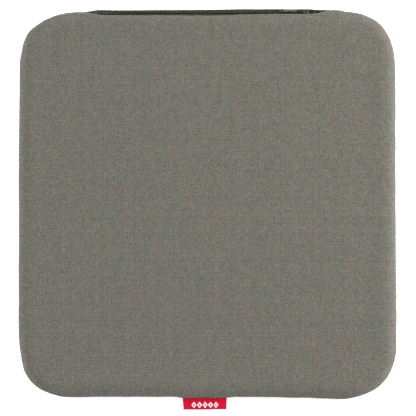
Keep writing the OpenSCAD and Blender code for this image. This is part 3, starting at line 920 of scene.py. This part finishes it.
def coil_path(side):
    """The middle of one coil's wound filament, and its radius along it."""
    first = MOUTH_X0 + 3 + (0 if side > 0 else PITCH / 2)
    turns = int((SLIDER_X + 3.5 - first) / PITCH)
    steps = 16
    t = np.arange(turns * steps + 1) / steps
    angle = 2 * math.pi * t
    # Round at the heel, straight along the legs, and pinched to a head at the chain's middle.
    v = 0.79 - 0.95 * np.cos(angle)
    w = 0.66 + 0.33 * np.sign(np.sin(angle)) * np.abs(np.sin(angle)) ** 0.65
    x = first + PITCH * (t - 0.32 * np.sin(2 * angle) / (2 * math.pi)) + 0.3
    head = np.exp(-((v + 0.16) / 0.25) ** 2)
    v = side * (v + parted(x))
    return zip_place(x, v, w + leaning(x, v)), 0.25 + 0.09 * head


def coil_piece(side):
    name = "zip_coil_upper" if side > 0 else "zip_coil_lower"
    path, radius = coil_path(side)
    points, faces = tube_mesh(path, radius, 7)
    piece = mesh_piece(name + "_filament", points, faces, NYLON)
    return place_piece(piece, stands_for=[name])


def coil_stitching(side):
    """Two rows of thread that hold a coil's legs down on its tape."""
    name = "zip_coil_stitching_" + ("upper" if side > 0 else "lower")
    rows = []
    for v in (0.85, 1.35):
        x = np.arange(MOUTH_X0 + 2.5, SLIDER_X + 3, PITCH / 6)
        w = 1.2 + 0.12 * np.cos(2 * math.pi * (x - MOUTH_X0) / PITCH)
        v = side * (v + parted(x))
        rows.append(tube_mesh(zip_place(x, v, w + leaning(x, v)), 0.1, 5))
    points, faces = joined(rows)
    return place_piece(mesh_piece(name, points, faces, DARK_THREAD))


def rounded_metal(node):
    """A CAD metal part keeps its shape, with its edges eased."""
    piece = frame["nodes"][node]
    piece.data.materials.clear()
    piece.data.materials.append(METAL)
    ease = piece.modifiers.new("Ease", "BEVEL")
    ease.width = 0.16 * MM
    ease.segments = 3
    ease.limit_method = "ANGLE"
    ease.angle_limit = math.radians(35)
    return piece


for side in (1, -1):
    tape_piece(side)
    coil_piece(side)
    coil_stitching(side)
for node in ("zip_slider_body", "zip_pull_tab", "zip_top_stops", "zip_bottom_stop"):
    rounded_metal(node)


# ---------------------------------------------------------------- stitching

def surface_of(piece):
    """A tree to find places on a piece as it is shown."""
    return BVHTree.FromObject(piece, bpy.context.evaluated_depsgraph_get())


def topstitch(upper):
    """A row of stitches along a lip, laid on the cloth."""
    name = "zip_topstitch_upper" if upper else "zip_topstitch_lower"
    low, high = box_mm(name)
    tree = surface_of(top_panel if upper else bottom_panel)
    pitch, length = 3.2, 2.5
    count = int((high[0] - low[0]) / pitch) + 1
    places, along, up = [], [], []
    for i in range(count):
        x = low[0] + length / 2 + i * pitch
        y, z = (low[1] + high[1]) / 2, (low[2] + high[2]) / 2
        if upper:
            y, z = HALF_L - rim_curve(upper_lip_angle(x))[0] - 1.8, PAD_H + 1
        target = Vector((x * MM, y * MM, z * MM))
        spot, normal, _, _ = tree.find_nearest(target)
        outwards = np.array(normal)
        if outwards @ (0, 1, 0.3 if upper else -0.3) < 0:
            outwards = -outwards
        places.append(np.array(spot) / MM + (0.05 if upper else -0.05) * outwards)
        along.append(np.array((1.0, 0.0, 0.0)))
        up.append(outwards)
    points, faces = stitches_mesh(places, along, up, length, 0.2)
    piece = mesh_piece(name + "_thread", points, faces, GREY_THREAD)
    return place_piece(piece, stands_for=[name])


def bar_tacks():
    """Two bars of close stitches across the seam, at the mouth's ends."""
    across = np.array([-0.7, -0.35, 0.35, 0.7])
    slant = np.array([-1, -0.5, 0.5, 1])
    rise = np.array([-0.2, 0.1, 0.1, -0.2])
    parts = []
    for x in (MOUTH_X0 - 1.8, MOUTH_X1 + 1.8):
        steps = np.linspace(-3.4, 3.4, 14)
        for i, v in enumerate(steps):
            lean = 0.12 * (-1) ** i
            path = zip_place(x + across, v + lean * slant, 1.15 + rise)
            parts.append(tube_mesh(path, 0.2, 6))
    points, faces = joined(parts)
    piece = mesh_piece("zip_bar_tacks_thread", points, faces, DARK_THREAD)
    return place_piece(piece, stands_for=["zip_bar_tacks"])


def seam_route(inset, step, skip_mouth=True):
    """Places and directions along the seam at an inset, every step millimetres, without the zip's mouth."""
    places, normals = outline(400)
    line = places - inset * normals
    along = np.concatenate([[0], np.cumsum(np.linalg.norm(np.diff(line, axis=0), axis=1))])
    at = np.arange(0, along[-1], step)
    spots = np.stack([np.interp(at, along, line[:, k]) for k in range(2)], 1)
    faced = np.stack([np.interp(at, along, normals[:, k]) for k in range(2)], 1)
    keep = np.ones(len(at), bool)
    if skip_mouth:
        in_mouth = (spots[:, 0] > MOUTH_X0 - 1) & (spots[:, 0] < MOUTH_X1 + 1)
        keep = ~((spots[:, 1] > HALF_L - 20) & in_mouth)
    return spots, faced, keep


def lockstitch(inset, height, up_sign, radius=0.18, pitch=3.0, skip_mouth=True):
    """A row of stitches round the pad, at an inset and a height: (points, faces)."""
    spots, faced, keep = seam_route(inset, pitch, skip_mouth)
    places = np.column_stack([spots, np.full(len(spots), height)])[keep]
    along = np.column_stack([-faced[:, 1], faced[:, 0], np.zeros(len(faced))])[keep]
    up = np.tile((0.0, 0.0, float(up_sign)), (len(places), 1))
    return stitches_mesh(places, along, up, pitch * 0.82, radius, 5)


def seam_threads():
    for node, z, sign in (("seam_needle_thread", 0.62, 1), ("seam_bobbin_thread", -0.62, -1)):
        points, faces = lockstitch(3.2, SEAM_Z + z, sign)
        piece = mesh_piece(node + "_stitches", settle(points), faces, GREY_THREAD)
        place_piece(piece, stands_for=[node])
    # The overlock thread winds round the raw edges of both allowances.
    spots, faced, keep = seam_route(4.9, 0.3)
    turn = np.arange(len(spots)) * 2 * math.pi / 9
    out = 0.75 * np.cos(turn)
    rise = 0.9 * np.sin(turn)
    flat = spots - out[:, None] * faced
    path = np.column_stack([flat, SEAM_Z + rise])
    breaks = np.flatnonzero(np.diff(keep.astype(int)))
    runs = [r for r in np.split(np.arange(len(keep)), breaks + 1) if keep[r[0]]]
    points, faces = joined([tube_mesh(path[r], 0.11, 5) for r in runs if len(r) > 4])
    piece = mesh_piece("seam_overlock_thread_loops", settle(points), faces, GREY_THREAD)
    place_piece(piece, stands_for=["seam_overlock_thread"])


topstitch(True)
topstitch(False)
bar_tacks()
seam_threads()


# ---------------------------------------------------------------- labels

def side_label():
    """A woven strip folded in two: a soft fold at its tip, slightly waved and hanging a little."""
    width = label_high[0] - label_low[0]
    thick = 0.38
    half_gap = 0.08
    root, tip = label_high[1], label_low[1] + 0.35
    u = np.linspace(-width / 2, width / 2, 43)
    out = np.linspace(0, 1, 17)
    wave = Wobble(12, 12)

    def layer(offset):
        """The strip's two leaves and its fold, at an offset from its middle face."""
        fold = np.radians(np.linspace(90, -90, 7))
        r = half_gap + thick / 2 + offset
        reach = root + (tip - root) * out
        y = np.concatenate([reach, tip - r * np.cos(fold[1:-1]), reach[::-1]])
        z = np.concatenate([np.full(len(out), r), r * np.sin(fold[1:-1]), np.full(len(out), -r)])
        return y, z

    def leaf(offset):
        y, z = layer(offset)
        x = np.repeat(u[:, None], len(y), 1)
        y, z = np.broadcast_to(y, x.shape).copy(), np.broadcast_to(z, x.shape).copy()
        free = smooth(-y, HALF_L - 2, -tip)
        x += LABEL_X + (0.9 * free - 0.8) * smooth(x, 0, -width / 2) - 0.2 * free * smooth(x, 0, width / 2)
        y += 0.35 * free * (x - LABEL_X) / width
        z += SEAM_Z - 1.1 * free ** 2 + 0.35 * free * wave(x)
        return np.stack([x, y, z], -1)

    shell, lining = leaf(thick / 2), leaf(-thick / 2)
    loop = np.concatenate([shell, lining[:, ::-1]], 1)
    rows, count = loop.shape[:2]
    faces = strip_faces(rows, count, False)
    y, _ = layer(0)
    place = HALF_L + np.minimum(y, 0)
    across = np.concatenate([place, place[::-1]])
    cut = np.stack([np.repeat(u, count), np.tile(across, len(u))], 1)
    piece = mesh_piece("side_label_cloth", loop.reshape(-1, 3), faces, LABEL, cut)
    place_piece(piece, stands_for=["side_label"])
    return piece


def care_label():
    """A blank satin strip sewn flat inside the top panel."""
    low, high = box_mm("care_label")
    x, y = np.linspace(low[0], high[0], 13), np.linspace(low[1], high[1], 19)
    gx, gy = np.meshgrid(x, y, indexing="ij")
    lift = 0.05 * np.sin(gx * 0.5) * np.sin(gy * 0.37)
    thick = high[2] - low[2]
    top = np.stack([gx, gy, high[2] - 0.06 + lift], -1).reshape(-1, 3)
    bottom = top - (0, 0, thick - 0.03)
    rows, columns = gx.shape
    number = np.arange(rows * columns).reshape(rows, columns)
    faces = []
    for a, b in zip(number[:-1], number[1:]):
        faces += band_faces(b.tolist(), a.tolist(), closed=False)
    shift = rows * columns
    faces += [tuple(k + shift for k in f[::-1]) for f in faces[:]]
    edge = np.concatenate([number[:-1, 0], number[-1, :-1], number[:0:-1, -1], number[0, :0:-1]]).tolist()
    faces += band_faces([e + shift for e in edge], edge)
    cut = np.tile(np.stack([gx, gy], -1).reshape(-1, 2), (2, 1))
    piece = mesh_piece("care_label_cloth", np.concatenate([top, bottom]), faces, SATIN, cut)
    place_piece(piece, stands_for=["care_label"])
    return piece


side_label()
care_label()


# ---------------------------------------------------------------- the core

def layer_piece(node, material, uneven=0.0, seed=0, n=26):
    """One layer of the core: a slab with eased edges and a slightly uneven face."""
    low, high = box_mm(node)
    inset = HALF_W - high[0]
    z0, z1 = low[2], high[2]
    ease = min(0.3 * (z1 - z0), 0.8)
    flat = disc_points(n, inset + ease)
    places, normals = outline(n)
    edge = places - inset * normals
    waves = [Wobble(seed + i, 37 + 9 * i) for i in range(2)]

    def face(z, sign):
        lift = uneven * waves[0](flat[:, 0] + 700 * sign) * waves[1](flat[:, 1])
        inside = smooth(HALF_W - np.abs(flat[:, 0]), inset + 2, inset + 30)
        return np.column_stack([flat, z - np.abs(lift) * inside * sign])

    top, bottom = face(z1, 1), face(z0, -1)
    sides = [np.column_stack([edge, np.full(len(edge), z)]) for z in (z1 - ease, z0 + ease)]
    points = np.concatenate([top, bottom, *sides])
    faces = grid_faces(n)
    faces += [tuple(i + len(top) for i in f[::-1]) for f in faces[:]]
    ring = ring_numbers(n, n)
    start = 2 * len(top)
    upper, lower = np.arange(start, start + 2 * len(edge)).reshape(2, -1)
    chain = [ring, upper, lower, ring + len(top)]
    for a, b in zip(chain[:-1], chain[1:]):
        faces += band_faces(b.tolist(), a.tolist())
    cut = np.concatenate([flat, flat, edge, edge])
    piece = mesh_piece(node + "_layer", points, faces, material, cut)
    ease_edges = piece.modifiers.new("Subdivision", "SUBSURF")
    ease_edges.levels = ease_edges.render_levels = 1
    return place_piece(piece, stands_for=[node]), inset


def core_layers():
    sheets = (
        ("core_liner_top", LINER, "liner", 0.08, ["core_foil_sheet"]),
        ("core_foil_sheet", FOIL, "foil", 0.04, ["core_felt_top"]),
        ("core_felt_top", FELT, "felt", 0.15, ["core_sponge"]),
        ("core_felt_bottom", FELT, "felt", 0.15, ["core_liner_bottom"]),
        ("core_liner_bottom", LINER, "liner", 0.08, ["cover_bottom_panel"]),
    )
    for i, (node, material, slot, uneven, under) in enumerate(sheets):
        piece, inset = layer_piece(node, material, uneven, 60 + 3 * i)
        width, length = 2 * (HALF_W - inset) * MM, 2 * (HALF_L - inset) * MM
        area = width * length - (4 - math.pi) * ((CORNER_R - inset) * MM) ** 2
    sponge, _ = layer_piece("core_sponge", SPONGE, 0.2, 80)


def binding():
    """A tape folded round the core's edge, and its two rows of stitches."""
    low, high = box_mm("core_edge_binding")
    inset = HALF_W - high[0]
    z0, z1 = low[2], high[2]
    _, stitches_high = box_mm("core_binding_stitches")
    stitch_inset = HALF_W - stitches_high[0] + 0.2
    reach = stitch_inset - inset + 1.5
    t = 0.38
    places, normals = outline(70)
    along = np.concatenate([[0], np.cumsum(np.linalg.norm(np.diff(places, axis=0), axis=1))])
    wave = Wobble(90, 8)(along)
    outer = [(reach, z0), (reach * 0.5, z0), (0.9, z0), (0.25, z0 + 0.25), (0, z0 + 0.9), (0, (z0 + z1) / 2),
             (0, z1 - 0.9), (0.25, z1 - 0.25), (0.9, z1), (reach * 0.5, z1), (reach, z1)]
    inner = [(reach, z1 - t), (reach * 0.5, z1 - t), (1.1, z1 - t), (t + 0.1, z1 - 1.0), (t, (z0 + z1) / 2),
             (t + 0.1, z0 + 1.0), (1.1, z0 + t), (reach * 0.5, z0 + t), (reach, z0 + t)]
    section = np.array(outer + inner)
    rings = []
    for depth, z in section:
        free = smooth(depth, 3, reach)
        ring = places - (inset + depth + 0.25 * wave * free)[:, None] * normals
        rings.append(np.column_stack([ring, np.full(len(ring), z)]))
    points = np.concatenate(rings)
    number = np.arange(len(points)).reshape(len(section), -1)
    faces = []
    for i in range(len(section)):
        faces += band_faces(number[i].tolist(), number[(i + 1) % len(section)].tolist())
    arc = np.concatenate([[0], np.cumsum(np.linalg.norm(np.diff(section, axis=0), axis=1))])
    cut = np.stack([np.tile(along, len(section)), np.repeat(arc, len(along))], 1)
    piece = mesh_piece("core_edge_binding_tape", points, faces, BINDING, cut)
    place_piece(piece, stands_for=["core_edge_binding"])
    strip = (2 * reach + z1 - z0) * MM
    parts = [
        lockstitch(stitch_inset, z1 + 0.02, 1, 0.16, 4.0, False),
        lockstitch(stitch_inset, z0 - 0.02, -1, 0.1, 4.0, False),
    ]
    points, faces = joined(parts)
    thread = mesh_piece("core_binding_stitches_thread", points, faces, WHITE_THREAD)
    place_piece(thread, stands_for=["core_binding_stitches"])


core_layers()
binding()


# ---------------------------------------------------------------- stage, light and camera

def stage_floor():
    """A plain pale floor."""
    g = Graph("floor", roughness=0.9, specular=0.1)
    g.shader.inputs["Emission Color"].default_value = (1, 1, 1, 1)
    g.shader.inputs["Emission Strength"].default_value = 0.6
    grain = g.noise(g.object_place(), 0.01)
    material = g.finish(g.blend(grain, (0.93, 0.93, 0.93), (0.95, 0.95, 0.95)))
    size = 6000
    corners = [(-size, -size, -0.3), (size, -size, -0.3), (size, size, -0.3), (-size, size, -0.3)]
    floor = mesh_piece("floor", corners, [(0, 1, 2, 3)], material, shade=False)


def area_light(name, place, aim, size, power):
    light = bpy.data.lights.new(name, "AREA")
    light.shape = "DISK"
    light.size = size
    light.energy = power
    lamp = bpy.data.objects.new(name, light)
    bpy.context.scene.collection.objects.link(lamp)
    lamp.location = place
    lamp.rotation_euler = (Vector(aim) - Vector(place)).to_track_quat("-Z", "Y").to_euler()


def lights():
    world = bpy.data.worlds.new("studio")
    bpy.context.scene.world = world
    world.use_nodes = True
    world.node_tree.nodes["Background"].inputs[0].default_value = (1, 1, 1, 1)
    world.node_tree.nodes["Background"].inputs[1].default_value = 0.27
    area_light("key", (1.7, 0.35, 0.75), (0, 0, 0), 0.8, 61)
    area_light("fill", (-1.7, 0.3, 0.7), (0, 0, 0), 1.0, 33.5)
    area_light("front", (-0.2, -1.7, 0.7), (0, 0, 0), 1.0, 9.5)
    area_light("back", (0, 1.7, 0.7), (0, 0, 0), 1.0, 7)


def camera():
    """Straight down, from far off with a long lens."""
    distance, seen = 2.6, 0.3934
    data = bpy.data.cameras.new("camera")
    data.sensor_width = 36
    data.lens = 36 * distance / seen
    data.clip_end = 50
    cam = bpy.data.objects.new("camera", data)
    bpy.context.scene.collection.objects.link(cam)
    cam.location = (0.0008, -0.003, distance + SEAM_Z * MM)
    cam.rotation_euler = (0, 0, 0)
    bpy.context.scene.camera = cam


stage_floor()
lights()
camera()
bpy.context.scene.view_settings.view_transform = "Standard"
bpy.context.scene.cycles.use_denoising = False
